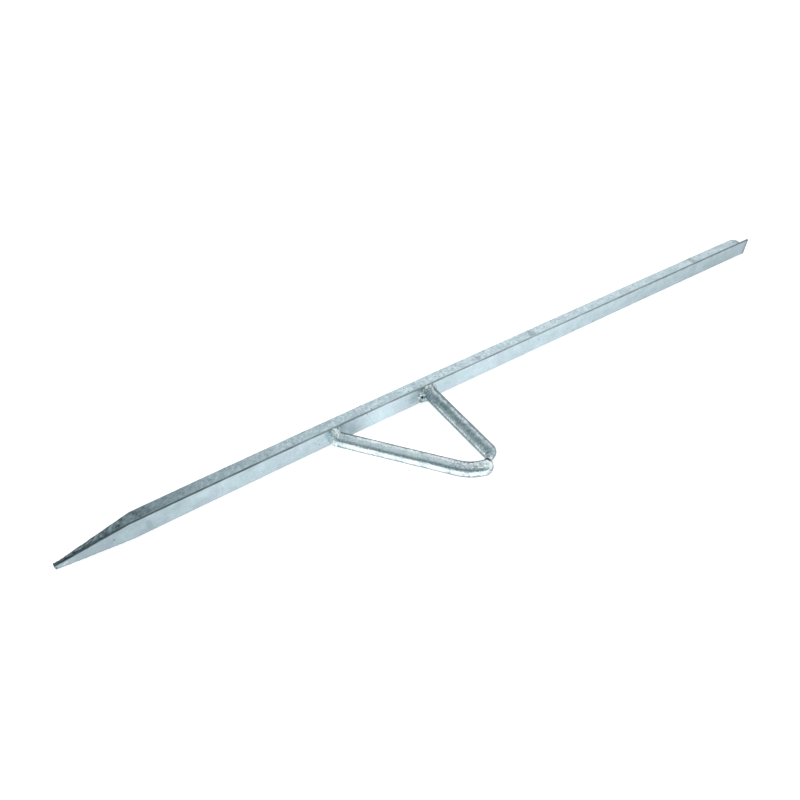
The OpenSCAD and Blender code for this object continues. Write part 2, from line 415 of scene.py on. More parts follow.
def bar_stain(x, i):
    """Painted reflection as a dark line on the rounded outer corner, and stain on the whole cut edge near
    the point.
    """
    i = min(i, SECTION_COUNT - i)
    corner = FACE_STEPS < i <= CORNER_END
    edge = FACE_STEPS < i <= EDGE_END
    ragged = 0.62 + 1.5 * wave((x, 1.5 * i, 0), 6.0, 41) + 0.8 * wave((x, 1.5 * i, 0), 2.2, 45)
    cut = (1 - fade(x, *DARK_EDGE)) * min(0.97, max(0.1, ragged))
    end = 0.3 * fade(x, BAR_LEN - 12.0, BAR_LEN - 5.0) + 0.7 * fade(x, BAR_LEN - 3.0, BAR_LEN - 1.0)
    stain = 0.0
    # painted reflection: the corner's dark line stands for the dark room that the corner mirrors
    if corner:
        painted_corner_line = 0.72 - 0.30 * fade(x, 90, 500) + 0.18 * fade(x, 800, BAR_LEN)
        stain = painted_corner_line + 0.22 * wave((x, 0, 0), 16.0, 43)
    if edge:
        stain = max(stain, cut, EDGE_DARKENING)
    elif i > WEB_EDGE_START:
        stain = EDGE_DARKENING
    elif i > EDGE_END:
        rough = 0.30 + 0.9 * wave((x, i, 0), 7.0, 47) + 0.5 * wave((x, i, 0), 2.5, 49)
        stain = (1 - fade(x, *ROUGH_WEB)) * max(0.0, rough)
    return min(1.0, max(stain, 0.7 * end))


print("stain of the corner at mid length:", round(bar_stain(BAR_LEN / 2, CORNER_END), 2))


# %% [markdown]
# ## The skin of the bar
# Now the rings are made. Each one is the section at its own width and height, drawn a little too
# small, and each point then rises or sinks by the waves of the coat. On the outermost edges the
# coat only ever sinks, so that the bar stays the size it is. At the point the shears tore the
# steel, so the edge there is ragged and the tip has a notch.

# %% Rings of the bar
COAT_ROOM, COAT_WAVES = 0.12, 0.24
SHEARED_TOE_R = 0.5
TEAR_DEPTH = 0.55
NOTCH_DEPTH, NOTCH_HALF_W, NOTCH_REACH = 2.6, 0.9, 5.0
TIP_STEP_BACK, TIP_STEP_REACH = 0.9, 4.0


def tip_tear(x, z):
    """How far a point at the tip is moved back by the notch, and by the torn side next to it."""
    notch = NOTCH_DEPTH * math.exp(-((z / NOTCH_HALF_W) ** 2)) * max(0.0, 1 - x / NOTCH_REACH)
    step = TIP_STEP_BACK * max(0.0, 1 - x / TIP_STEP_REACH) if z < 0 else 0.0
    return notch + step


def bar_ring(x):
    """One ring of points in millimetres, with the shine and the stain of each, where the stain also holds
    the painted corner line and the shine the flange's painted reflections.
    """
    half_w, height = taper(x)
    cut = fade(x, 0.8 * POINT_LEN, 1.05 * POINT_LEN)
    toe_r = SHEARED_TOE_R + (TOE_R - SHEARED_TOE_R) * cut
    section = whole_section(half_section(half_w - COAT_ROOM, height - COAT_ROOM, toe_r))
    rough_cut = 1 - fade(x, *TORN_EDGE)
    ring, shine, stain = [], [], []
    for i, (y, z) in enumerate(section):
        (ya, za), (yb, zb) = section[i - 1], section[(i + 1) % SECTION_COUNT]
        out = Vector((-(zb - za), yb - ya)).normalized()
        lump = COAT_WAVES * (coat((x, y, z)) - 0.5)
        on_cut = rough_cut * (1.0 if y > 0.4 else 0.0)
        lump -= TEAR_DEPTH * on_cut * max(0.0, 0.15 + wave((x, y, z), 3.0, 51))
        lump -= end_sink(x)
        shine.append(bar_shine(x, y, z))
        stain.append(bar_stain(x, i))
        y, z = y - out.x * lump, z - out.y * lump
        ring.append((x + tip_tear(x, z), y - bow(x), max(-half_w, min(half_w, z))))
    return ring, shine, stain


bar_rings, bar_shines, bar_stains = zip(*[bar_ring(x) for x in stations])
tee_bar = skin("tee_bar_zinc", bar_rings, shine=bar_shines, stain=bar_stains)
turn_outward(tee_bar)

# %% [markdown]
# ## The route of the step tube
# The step is one tube: a straight strut that leans away from the point, a long gentle curve, one
# tight bend, and a straight tread that stands square to the bar. The route is worked out from
# the same radii and angles as the construction. The strut is cut square, so it starts where the
# rim of its end comes near the flange.

# %% Centre line of the tube
bend_start_x = TREAD_X - BEND_R * (1 + math.sin(SWEEP_END))
sweep_start_x = bend_start_x + SWEEP_R * (math.sin(SWEEP_END) - math.sin(STRUT_ANGLE))
sweep_start_y = -math.tan(STRUT_ANGLE) * (sweep_start_x - STRUT_X)
bend_start_y = sweep_start_y - SWEEP_R * (math.cos(SWEEP_END) - math.cos(STRUT_ANGLE))
sweep_mid = (bend_start_x + SWEEP_R * math.sin(SWEEP_END), bend_start_y + SWEEP_R * math.cos(SWEEP_END))
bend_mid = (TREAD_X - BEND_R, bend_start_y + BEND_R * math.cos(SWEEP_END))

STRUT_SET = TUBE_R / math.tan(STRUT_ANGLE) + ROOT_GAP / math.sin(STRUT_ANGLE)
STRUT_LEN = math.hypot(sweep_start_x - STRUT_X, sweep_start_y)
SWEEP_LEN = SWEEP_R * (STRUT_ANGLE - SWEEP_END)
BEND_LEN = BEND_R * (SWEEP_END + math.pi / 2)
TREAD_LEN = -bend_mid[1]
KINK_S = STRUT_LEN + SWEEP_LEN + BEND_R * (SWEEP_END + KINK_AT)
TUBE_LEN = STRUT_LEN + SWEEP_LEN + BEND_LEN + TREAD_LEN


def route(s):
    """Point and heading of the centre line at a length s from where the strut meets the flange."""
    if s < STRUT_LEN:
        a = -STRUT_ANGLE
        return STRUT_X + s * math.cos(a), s * math.sin(a), a
    s -= STRUT_LEN
    if s < SWEEP_LEN:
        a = -STRUT_ANGLE + s / SWEEP_R
        return sweep_mid[0] + SWEEP_R * math.sin(a), sweep_mid[1] - SWEEP_R * math.cos(a), a
    s -= SWEEP_LEN
    if s < BEND_LEN:
        a = -SWEEP_END + s / BEND_R
        return bend_mid[0] + BEND_R * math.sin(a), bend_mid[1] - BEND_R * math.cos(a), a
    return TREAD_X, bend_mid[1] + s - BEND_LEN, math.pi / 2


print("tube length on its centre line:", round(TUBE_LEN - STRUT_SET, 1), "mm")

# %% [markdown]
# ## The kink in the bend
# A thin tube that is bent too tightly without a filling gives way on the outside: the outer wall
# falls in, the tube spreads above and below, and a crease folds it into two lobes. The kink is
# written as a rise and fall along the tube, which pushes the outer half of each ring inwards,
# and a short pinch that brings the spread sides back together at the crease. A sculpted or
# simulated dent would look as real, but it could not be set by a few depths and lengths.

# %% The kink, as depths and half lengths
FLAT_DEPTH, FLAT_REACH = 4.8, 16.6
CREASE_DEPTH, CREASE_REACH = 8.4, 11.0
PINCH, PINCH_REACH = 8.3, 13.6
SPREAD, SPREAD_REACH = 3.8, 10.7
INWARDS = 0.7


def swell(s, reach, power):
    """1 at the kink, falling smoothly to 0 at a length reach to both sides."""
    u = abs(s - KINK_S) / reach
    return (1 - u**power) ** 2 if u < 1 else 0.0


print("dent at the crease:", FLAT_DEPTH + CREASE_DEPTH, "mm")


# %% [markdown]
# ## The finish of the tube
# The strut drained well and is almost a mirror. The zinc is mottled where the tube was bent, and
# dull on the tread, near the strut's weld and along the top. As on the bar, the finish is worked
# out from the place of each point, here its length along the tube and its angle round it.

# %% Shine and coat of the tube
# degrees round the tube, where 0 is the outer side of the V and 90 is up
TOP_LINE, TOP_LINE_HALF = 99, 14
# lengths before the kink between which the mottling comes and goes
MOTTLE_START, MOTTLE_END = (78, 56), (30, 16)


def tube_shine(s, t, place):
    """Clean on the strut, mottled where it sweeps, and dull on the tread and near the strut's weld."""
    tread = fade(s, KINK_S - 2, KINK_S + 10)
    shine = 0.95 - 0.62 * tread
    shine -= 0.30 * (1 - fade(s, STRUT_SET + 4, STRUT_SET + 34))
    shine += 0.10 * fade(s, TUBE_LEN - 34, TUBE_LEN - 6)
    top = math.exp(-(((math.degrees(t) - TOP_LINE) / TOP_LINE_HALF) ** 2))
    shine -= 0.28 * top * (1 - tread)
    comes, goes = [[KINK_S - before for before in ends] for ends in (MOTTLE_START, MOTTLE_END)]
    strained = fade(s, *comes) - fade(s, *goes)
    shine -= strained * (0.20 + 0.80 * wave((0.6 * s, *place[1:]), 1.7, 67))
    return shine + 0.20 * wave((0.5 * s, *place[1:]), 8.0, 61) + 0.35 * wave(place, 2.6, 63)


def tube_coat(place):
    """Rise and fall of the coat on the tube."""
    return 0.04 + 0.10 * wave(place, 15.0, 3) + 0.08 * wave(place, 5.0, 4) + 0.05 * wave(place, 2.2, 5)


print("mottled from", round(KINK_S - MOTTLE_START[0]), "to", round(KINK_S - MOTTLE_END[1]), "mm")

# %% [markdown]
# ## The skin of the tube
# A curve object with a round bevel would give a plain tube, but not the kink, so the tube is made
# of rings like the bar. They stand close together round the kink and further apart on the
# straight lengths.

# %% Rings of the tube
SIDES = 96
NOISE_R = 9.0


def tube_ring(s):
    """One ring of points in millimetres, with the shine of each."""
    x, y, a = route(s)
    dent = FLAT_DEPTH * swell(s, FLAT_REACH, 4) + CREASE_DEPTH * swell(s, CREASE_REACH, 2)
    tall = SPREAD * swell(s, SPREAD_REACH, 2) - PINCH * swell(s, PINCH_REACH, 2)
    inwards = INWARDS * swell(s, FLAT_REACH, 2)
    lowest = TUBE_REACH + 0.02
    ring, shine = [], []
    for i in range(SIDES):
        t = 2 * math.pi * i / SIDES
        place = (s, NOISE_R * math.cos(t), NOISE_R * math.sin(t))
        r = TUBE_R + tube_coat(place)
        out = r * math.cos(t) - dent * max(0.0, math.cos(t)) - inwards
        ring.append((x + out * math.sin(a), max(lowest, y - out * math.cos(a)), (r + tall) * math.sin(t)))
        shine.append(tube_shine(s, t, place))
    return ring, shine


KINK_STEP, STRAIGHT_STEP, KINK_ROOM = 0.5, 1.2, 27
lengths = list(np.arange(STRUT_SET, KINK_S - KINK_ROOM, STRAIGHT_STEP))
lengths += list(np.arange(lengths[-1] + KINK_STEP, KINK_S + KINK_ROOM, KINK_STEP))
lengths += list(np.arange(lengths[-1] + STRAIGHT_STEP, TUBE_LEN, STRAIGHT_STEP))
tube_rings, tube_shines = zip(*[tube_ring(s) for s in lengths + [TUBE_LEN]])
no_stain = np.zeros((len(tube_rings), SIDES))
step_tube = skin("step_tube_zinc", tube_rings, shine=tube_shines, stain=no_stain)
turn_outward(step_tube)

# %% [markdown]
# ## Welds
# A fillet weld runs round each foot of the tube. It is laid as a row of small overlapping
# puddles, so its surface has ripples across the run. The strut's weld also fills the wedge under
# its square end, and the tread's weld is fullest on the side that faces down and towards the
# point, where the metal sagged. A ring of round bevel would look like a rubber washer, so the
# bead is a closed loop of sections instead: the visible side curves from the flange up to the
# tube, and the back is hidden inside the metal.

# %% The lines that a bead follows
# angle round the tube, in radians, of the side where the metal sagged
LOW_SIDE = 3.75
HIDDEN_DEPTH = 0.8
BEAD_TOP_R, BEAD_INNER_R = 0.985 * TUBE_R, 0.6 * TUBE_R
SAG_SHARE = 0.34


def bead_ends(t, weld):
    """Where the bead meets the flange, sags between, meets the tube, and which way is out."""
    lean, rise = weld["lean"], weld["rise"]
    around = Vector((math.sin(lean) * math.cos(t), math.cos(lean) * math.cos(t), math.sin(t)))
    along = Vector((math.cos(lean), -math.sin(lean), 0))
    away = Vector((math.cos(t), 0, math.sin(t)))
    fullness = min(1.0, 1.0 + 0.30 * wave(9 * Vector((math.cos(t), math.sin(t), 0)), 3.2, weld["seed"]))
    back = max(0.0, -math.cos(t)) ** 2
    low = max(0.0, math.cos(t - LOW_SIDE)) ** 2 if weld["sagged"] else 0.0
    foot = Vector((*weld["foot"], 0))
    rim = foot + TUBE_R * around
    under = Vector((rim.x, 0, rim.z))
    wide = (weld["side"] + (weld["heel"] - weld["side"]) * max(back, low)) * fullness
    toe = under + away * wide
    top = foot + BEAD_TOP_R * around + along * rise * fullness * (1 + weld["sagged"] * low)
    sag = rim + SAG_SHARE * (toe - under + top - rim) + away * 0.2 * abs(rim.y)
    inner = foot + BEAD_INNER_R * around
    sunk = toe + Vector((0, HIDDEN_DEPTH, 0)) - away * 0.4
    hidden = [inner + along * rise * 0.9, Vector((inner.x, HIDDEN_DEPTH, inner.z)), sunk]
    return toe, sag, top, (away + around + along).normalized(), hidden


print("a bead's top edge lies", round(TUBE_R - BEAD_TOP_R, 2), "mm inside the tube's skin")

# %% [markdown]
# ## The surface of a bead
# Between its toe and its top a section is a curve that the sag pulls in. Ripples and lumps push
# it out again. A few pits are left where gas blew out of the seam, and stay dark.

# %% One section, and a whole bead
BEAD_TURNS, BEAD_STEPS = 220, 18
RIPPLES, RIPPLE_HEIGHT = 26, 0.09


def bead_section(t, weld):
    """One ring of points in millimetres, with the shine and the stain of each."""
    seed, clean = weld["seed"], weld["clean"]
    toe, sag, top, out, hidden = bead_ends(t, weld)
    ripple_shift = 2.0 * wave(6 * Vector((math.cos(t), math.sin(t), 0)), 2.0, seed)
    ripple = RIPPLE_HEIGHT * math.cos(RIPPLES * t + ripple_shift)
    ring, shine, stain = [], [], []
    for k in range(BEAD_STEPS + 1):
        u = k / BEAD_STEPS
        p = (1 - u) ** 2 * toe + 2 * u * (1 - u) * sag + u * u * top
        lumps = ripple + 0.55 * wave(p, 3.2, seed + 3) + 0.25 * wave(p, 1.5, seed + 6)
        p += out * math.sin(math.pi * u) * lumps
        dark = 0.0
        for place, size in weld["pits"]:
            hole = max(0.0, 1 - ((p - Vector(place)).length / size) ** 2)
            p -= out * hole * size
            dark = max(dark, min(1.0, 2.5 * hole))
        ring.append(p)
        shine.append(clean + 0.9 * wave(p, 3.0, seed + 8))
        grime = 0.55 - 0.5 * clean + 1.1 * wave(p, 2.6, seed + 12) + 0.5 * (1 - u) ** 6
        stain.append(min(1.0, max(dark, 0.5 * grime)))
    ring = [(p.x, p.y, max(-HALF_FLANGE, min(HALF_FLANGE, p.z))) for p in ring + hidden]
    return ring, shine + [0.5] * len(hidden), stain + [0.0] * len(hidden)


def weld_bead(name, **weld):
    """A bead from its sections, all the way round the foot of the tube."""
    turns = [2 * math.pi * j / BEAD_TURNS for j in range(BEAD_TURNS)]
    rings, shines, stains = zip(*[bead_section(t, weld) for t in turns])
    bead = skin(name, rings, loop=True, shine=shines, stain=stains)
    turn_outward(bead)
    return bead


print("sections round each foot:", BEAD_TURNS)

# %% [markdown]
# ## Both weld beads
# Each weld has its own sizes: how far the bead reaches over the flange on the heel and on the
# sides, how high it rises on the tube, and how much fuller it is where it sagged. Its pits are
# places with a radius. The seed makes its lumps differ from the other weld's.

# %% Weld beads
strut_foot = (STRUT_X + STRUT_SET * math.cos(STRUT_ANGLE), -STRUT_SET * math.sin(STRUT_ANGLE))
tread_weld = weld_bead(
    "tread_weld_bead", foot=(TREAD_X, 0.0), lean=math.pi / 2, heel=10.0, side=4.0, rise=5.0,
    sagged=1.1, seed=2.0, clean=0.35,
    pits=(((519.6, -3.3, -1.2), 2.1), ((523.2, -6.2, -3.6), 1.1)),
)
strut_weld = weld_bead(
    "strut_weld_bead", foot=strut_foot, lean=STRUT_ANGLE, heel=1.5, side=4.0, rise=5.0,
    sagged=0.0, seed=11.0, clean=1.0,
    pits=(((369.0, -2.0, 8.0), 1.4), ((366.5, -2.5, -3.0), 1.4), ((373.5, -3.0, 13.0), 1.2)),
)

# %% [markdown]
# ## Drops of zinc
# Where the welds hold the molten zinc back, it sets as small drops, and their brightness is a
# painted highlight. Each drop is a ball that is squashed onto the metal and made uneven by the same
# waves, so no two are alike. The run at the point is made of drops as well.

# %% Balls that are squashed and uneven
SQUASH = 0.8


def drops(name, places, stain_value):
    """One piece made of uneven, squashed balls, with one stain for all of it."""
    bm = bmesh.new()
    half_flange = HALF_FLANGE * MM
    for place, size in places:
        made = bmesh.ops.create_icosphere(bm, subdivisions=4, radius=1.0)
        for vert in made["verts"]:
            ball = vert.co * size
            seen = Vector(place) + ball
            lump = 1 + 0.25 * wave(seen, 1.8, 71) + 0.12 * wave(seen, 0.8, 73)
            ball.y *= SQUASH
            vert.co = (Vector(place) + ball * lump) * MM
            vert.co.z = max(-half_flange, min(half_flange, vert.co.z))
    mesh = bpy.data.meshes.new(name)
    bm.to_mesh(mesh)
    bm.free()
    for mask, value in (("shine", 1.0), ("stain", stain_value)):
        layer = mesh.attributes.new(mask, "FLOAT", "POINT")
        layer.data.foreach_set("value", [value] * len(mesh.vertices))
    mesh.polygons.foreach_set("use_smooth", [True] * len(mesh.polygons))
    piece = bpy.data.objects.new(name, mesh)
    bpy.context.scene.collection.objects.link(piece)
    print(name, len(places), "balls")
    return piece


print("a drop's height is", SQUASH, "of its width")

# %% [markdown]
# ## Drops and grains
# Dark grains of dross, and the burr that the saw left at the head, are smaller balls of the same
# kind. Those on the bar bow with it. All drops are one piece, and all grains another.

# %% Places of the drops and grains
# place, radius
DROPS = (
    ((374.2, -0.9, 12.6), 2.3),
    ((378.6, -3.6, 10.2), 2.0),
    ((370.6, -0.6, 11.6), 1.5),
    ((382.6, -1.4, 12.0), 1.3),
    ((528.0, -1.2, 12.2), 2.3),
    ((533.8, -1.8, 12.2), 2.5),
    ((535.2, -6.6, 10.3), 1.9),
    ((540.5, -1.4, 11.4), 1.6),
    ((524.0, -0.8, 9.6), 1.4),
    ((531.0, -4.5, -10.6), 2.2),
    ((536.5, -2.0, -12.0), 1.8),
    ((372.5, -5.5, -10.0), 1.8),
)


def on_bar(x, y, z, size):
    """A place on the bowed bar and a size."""
    return ((x, y - bow(x), z), size)


# place on the straight bar, radius
RUN = ((9.0, 0.1, 0.3, 1.1), (11.2, 0.1, 0.8, 1.5), (13.6, 0.1, 1.2, 1.2), (3.2, 0.6, -1.6, 1.2))
GRAINS = (
    (897.0, 24.0, 2.0, 0.9), (656.0, 28.0, 2.0, 0.8), (981.0, 25.7, 2.0, 0.7), (434.0, 29.0, 2.0, 0.9),
    (457.0, 14.0, 2.0, 0.8), (438.0, 4.0, 14.2, 0.7), (745.0, 0.2, 4.0, 0.8), (429.0, 0.2, 12.0, 0.8),
    (560.0, 21.0, 2.0, 0.8), (506.0, 25.0, 2.0, 0.7), (318.0, 24.0, 2.0, 0.8), (283.0, 16.0, 2.0, 0.7),
    (352.0, 0.1, -4.0, 0.8), (345.0, 0.1, 3.0, 0.7), (69.7, 0.1, 0.5, 1.0), (1172.0, 20.0, 2.0, 0.8),
)
HEAD_BURR = (
    (1247.6, 0.9, 13.6, 1.7), (1244.4, 0.7, 14.2, 1.0),
    (1248.4, 0.6, -13.9, 1.0), (1246.5, 2.9, 12.9, 1.3),
)
run = tuple(on_bar(*spec) for spec in RUN)
grit = tuple(on_bar(*spec) for spec in GRAINS + HEAD_BURR)
zinc_drops = drops("zinc_drops", DROPS + run, 0.0)
zinc_grains = drops("zinc_grains", grit, 0.75)

# %% [markdown]
# ## Mottled zinc, as a node group
# The finish is the same metal on all pieces, with different amounts of waviness. Each material
# could have its own textures, but then a change has to be made four times. A node group holds
# what they share: it takes the shine that is painted on the points, adds soft patches and fine
# grain to it, and also gives a few dark specks, wide patches with a faint purple blush, and a
# height for the bump. Each material places the group with its own values.

# %% Helpers for nodes
def add(tree, kind, **settings):
    """A new node with its settings."""
    node = tree.nodes.new(kind)
    for key, value in settings.items():
        setattr(node, key, value)
    return node


def maths(tree, operation, *values):
    """A Math node whose inputs are numbers or other nodes' outputs."""
    node = add(tree, "ShaderNodeMath", operation=operation)
    for i, value in enumerate(values):
        if isinstance(value, (int, float)):
            node.inputs[i].default_value = value
        else:
            tree.links.new(value, node.inputs[i])
    return node.outputs["Value"]


def texture_noise(tree, vector, scale, detail, roughness=0.5):
    """Soft noise between 0 and 1, with its middle at 0.5."""
    node = add(tree, "ShaderNodeTexNoise")
    node.inputs["Detail"].default_value = detail
    node.inputs["Roughness"].default_value = roughness
    tree.links.new(vector, node.inputs["Vector"])
    tree.links.new(scale, node.inputs["Scale"])
    return node.outputs["Fac"]


print("helpers: add, maths, texture_noise")

# %% [markdown]
# ## Specks
# The specks come from cells of random colour. The middle of a cell makes a dot, and only the
# cells with the most red keep theirs, so the dots are few and scattered.

# %% Soft steps and specks
SHARE_WITH_SPECK = 0.20
DOT_EDGE, DOT_MIDDLE = 0.085, 0.03


def soft_step(tree, value, start, end):
    """0 where the value is at start, 1 where it is at end, and smooth between."""
    node = add(tree, "ShaderNodeMapRange", interpolation_type="SMOOTHSTEP")
    node.inputs["From Min"].default_value = start
    node.inputs["From Max"].default_value = end
    tree.links.new(value, node.inputs["Value"])
    return node.outputs["Result"]


def specks_of(group, where, scale):
    """Dots in the middle of a few cells."""
    cells = add(group, "ShaderNodeTexVoronoi")
    group.links.new(where, cells.inputs["Vector"])
    group.links.new(scale, cells.inputs["Scale"])
    dot = soft_step(group, cells.outputs["Distance"], DOT_EDGE, DOT_MIDDLE)
    split = add(group, "ShaderNodeSeparateColor")
    group.links.new(cells.outputs["Color"], split.inputs["Color"])
    few = maths(group, "GREATER_THAN", split.outputs["Red"], 1 - SHARE_WITH_SPECK)
    return maths(group, "MULTIPLY", dot, few)


print("share of cells with a speck:", SHARE_WITH_SPECK)

# %% [markdown]
# ## The zinc group itself
# The inputs are the painted shine and the sizes and depths of the patches, the grain and the
# specks. The outputs are masks and a height, and no shader, so each material stays free to give
# them its own colours.

# %% The zinc group
GROUP_INPUTS = (
    ("Shine", 0.7),
    ("Patch Scale", 40.0),
    ("Patch Depth", 0.5),
    ("Grain Scale", 300.0),
    ("Grain Depth", 0.4),
    ("Speck Scale", 60.0),
)
GROUP_OUTPUTS = ("Shine", "Specks", "Blush", "Height")
BLUSH_SIZE = 0.4


def zinc_group():
    """The node group, with its sockets, textures and links."""
    group = bpy.data.node_groups.new("zinc coat", "ShaderNodeTree")
    for name, value in GROUP_INPUTS:
        socket = group.interface.new_socket(name, in_out="INPUT", socket_type="NodeSocketFloat")
        socket.default_value = value
    group.interface.new_socket("Coordinates", in_out="INPUT", socket_type="NodeSocketVector")
    for name in GROUP_OUTPUTS:
        group.interface.new_socket(name, in_out="OUTPUT", socket_type="NodeSocketFloat")
    given = add(group, "NodeGroupInput").outputs
    out = add(group, "NodeGroupOutput").inputs
    where = given["Coordinates"]

    patch = texture_noise(group, where, given["Patch Scale"], 5, 0.6)
    grain = texture_noise(group, where, given["Grain Scale"], 3, 0.6)
    patch_part = maths(group, "MULTIPLY", maths(group, "SUBTRACT", patch, 0.5), given["Patch Depth"])
    grain_part = maths(group, "MULTIPLY", maths(group, "SUBTRACT", grain, 0.5), given["Grain Depth"])
    shine = maths(group, "ADD", maths(group, "ADD", patch_part, grain_part), given["Shine"])
    clean = add(group, "ShaderNodeClamp")
    group.links.new(shine, clean.inputs["Value"])
    group.links.new(clean.outputs["Result"], out["Shine"])

    group.links.new(specks_of(group, where, given["Speck Scale"]), out["Specks"])
    blush_scale = maths(group, "MULTIPLY", given["Patch Scale"], BLUSH_SIZE)
    blush = soft_step(group, texture_noise(group, where, blush_scale, 3), 0.42, 0.62)
    group.links.new(blush, out["Blush"])
    group.links.new(maths(group, "MULTIPLY_ADD", patch, 0.6, grain), out["Height"])
    return group


ZINC_GROUP = zinc_group()
print("group inputs:", [name for name, value in GROUP_INPUTS])


# %% [markdown]
# ## The zinc materials
# Zinc is a metal with a faint blue-green cast. Clean zinc reflects almost all the light and is
# smooth, and dull zinc reflects about half and scatters more. The shine mask mixes the two, in
# colour and in roughness; on the bar's flange it also carries painted reflections. Stains and specks
# go nearly black, and so does the bar's painted corner line. The rim value paints shade into the
# colour: the dark line that a polished tube shows where it turns away from the eye. A single colour
# with one roughness would be simpler, but it looks like grey paint.

# %% The colours of a zinc material
# one near black for stains and specks, and for the painted shade of the corner line and the rim
STAIN_AND_SHADE_COLOUR = (0.055, 0.072, 0.078)
BLUSH = (1.0, 0.962, 0.988)


def mix_colour(tree, factor, a, b):
    """One colour where the factor is 0 and another where it is 1."""
    node = add(tree, "ShaderNodeMix", data_type="RGBA")
    for name, value in (("A", a), ("B", b)):
        if isinstance(value, tuple):
            node.inputs[name].default_value = (*value, 1)
        else:
            tree.links.new(value, node.inputs[name])
    tree.links.new(factor, node.inputs["Factor"])
    return node.outputs["Result"]


def blushed(tree, factor, colour):
    """The colour multiplied by the blush where the factor is 1."""
    node = add(tree, "ShaderNodeMix", data_type="RGBA", blend_type="MULTIPLY")
    node.inputs["B"].default_value = (*BLUSH, 1)
    tree.links.new(factor, node.inputs["Factor"])
    tree.links.new(colour, node.inputs["A"])
    return node.outputs["Result"]


def painted_rim_shade(tree, shine, rim):
    """Painted shade: how dark the metal is painted where it turns away, a little stronger where it is
    clean.
    """
    facing = add(tree, "ShaderNodeLayerWeight").outputs["Facing"]
    near_rim = maths(tree, "MULTIPLY_ADD", shine, -0.2, facing)
    line_mask = soft_step(tree, maths(tree, "ADD", near_rim, 0.15), 0.40, 0.58)
    strength = maths(tree, "MULTIPLY_ADD", shine, 0.2 * rim, 0.57 * rim)
    return maths(tree, "MULTIPLY", line_mask, strength)


print("stain:", STAIN_AND_SHADE_COLOUR, "blush:", BLUSH)

# %% [markdown]
# ## How a zinc material is put together
# The group's masks choose between colours one after the other: dull or clean, the blush, then
# stains with the painted corner line, specks, and the painted shade of the dark rim on top. The shine
# also sets the roughness, and the height makes the bump.

# %% A zinc material
def zinc_material(name, clean, dull, clean_rough, dull_rough, bump_mm, rim, metal=1.0, **group_values):
    """A zinc with its colours, its roughness, the height of its bump and values for the group."""
    mat = bpy.data.materials.new(name)
    mat.use_nodes = True
    tree = mat.node_tree
    shader = tree.nodes["Principled BSDF"]
    shader.inputs["Metallic"].default_value = metal
    coords = add(tree, "ShaderNodeTexCoord")
    painted = add(tree, "ShaderNodeAttribute", attribute_name="shine")
    stain = add(tree, "ShaderNodeAttribute", attribute_name="stain")
    group = add(tree, "ShaderNodeGroup", node_tree=ZINC_GROUP)
    for key, value in group_values.items():
        group.inputs[key.replace("_", " ").title()].default_value = value
    tree.links.new(coords.outputs["Object"], group.inputs["Coordinates"])
    tree.links.new(painted.outputs["Fac"], group.inputs["Shine"])
    colour = mix_colour(tree, group.outputs["Shine"], dull, clean)
    colour = blushed(tree, group.outputs["Blush"], colour)
    # stains, and the bar's painted corner line
    colour = mix_colour(tree, stain.outputs["Fac"], colour, STAIN_AND_SHADE_COLOUR)
    colour = mix_colour(tree, group.outputs["Specks"], colour, STAIN_AND_SHADE_COLOUR)
    # painted shade: the dark rim where round metal turns away from the eye
    colour = mix_colour(tree, painted_rim_shade(tree, group.outputs["Shine"], rim), colour, STAIN_AND_SHADE_COLOUR)
    tree.links.new(colour, shader.inputs["Base Color"])
    roughness = add(tree, "ShaderNodeMapRange")
    roughness.inputs["To Min"].default_value = dull_rough
    roughness.inputs["To Max"].default_value = clean_rough
    tree.links.new(group.outputs["Shine"], roughness.inputs["Value"])
    tree.links.new(roughness.outputs["Result"], shader.inputs["Roughness"])
    bump = add(tree, "ShaderNodeBump")
    bump.inputs["Distance"].default_value = bump_mm * MM
    tree.links.new(group.outputs["Height"], bump.inputs["Height"])
    tree.links.new(bump.outputs["Normal"], shader.inputs["Normal"])
    print(name, "has", len(tree.nodes), "nodes")
    return mat


print("values that each material gives the group:", len(GROUP_INPUTS) - 1)

# %% [markdown]
# ## One material for each kind of piece
# The bar is rough and rather dull, the tube is the smoothest, and the welds are lumpy. The drops
# are painted nearly white, as a painted highlight: they are given less metal, so that they stay
# bright from every side instead of showing the dark parts of the room.

# %% The four zinc materials
bar_zinc = zinc_material(
    "zinc on the bar", clean=(0.665, 0.80, 0.85), dull=(0.325, 0.41, 0.44),
    clean_rough=0.20, dull_rough=0.34, bump_mm=0.16, rim=0.0,
    patch_scale=70.0, patch_depth=0.55, grain_scale=230.0, grain_depth=0.45, speck_scale=45.0,
)
tube_zinc = zinc_material(
    "zinc on the tube", clean=(0.87, 0.965, 0.985), dull=(0.28, 0.39, 0.415),
    clean_rough=0.13, dull_rough=0.30, bump_mm=0.42, rim=1.0,
    patch_scale=75.0, patch_depth=0.8, grain_scale=340.0, grain_depth=0.9, speck_scale=60.0,
)
weld_zinc = zinc_material(
    "zinc on the welds", clean=(0.86, 0.98, 0.99), dull=(0.42, 0.54, 0.55),
    clean_rough=0.20, dull_rough=0.60, bump_mm=0.35, rim=0.1, metal=0.92,
    patch_scale=120.0, patch_depth=0.7, grain_scale=420.0, grain_depth=0.6, speck_scale=90.0,
)
# painted highlight: the drops are nearly white and have little metal
drop_zinc = zinc_material(
    "painted highlight on the drops", clean=(0.95, 1.0, 1.0), dull=(0.85, 0.93, 0.93),
    clean_rough=0.22, dull_rough=0.40, bump_mm=0.2, rim=0.0, metal=0.25,
    patch_scale=120.0, patch_depth=0.2, grain_scale=420.0, grain_depth=0.2, speck_scale=90.0,
)

# %% [markdown]
# ## Dress the pieces
# Each piece rides on the part's one body, takes its material, and replaces the plain solids that it
# stands for.

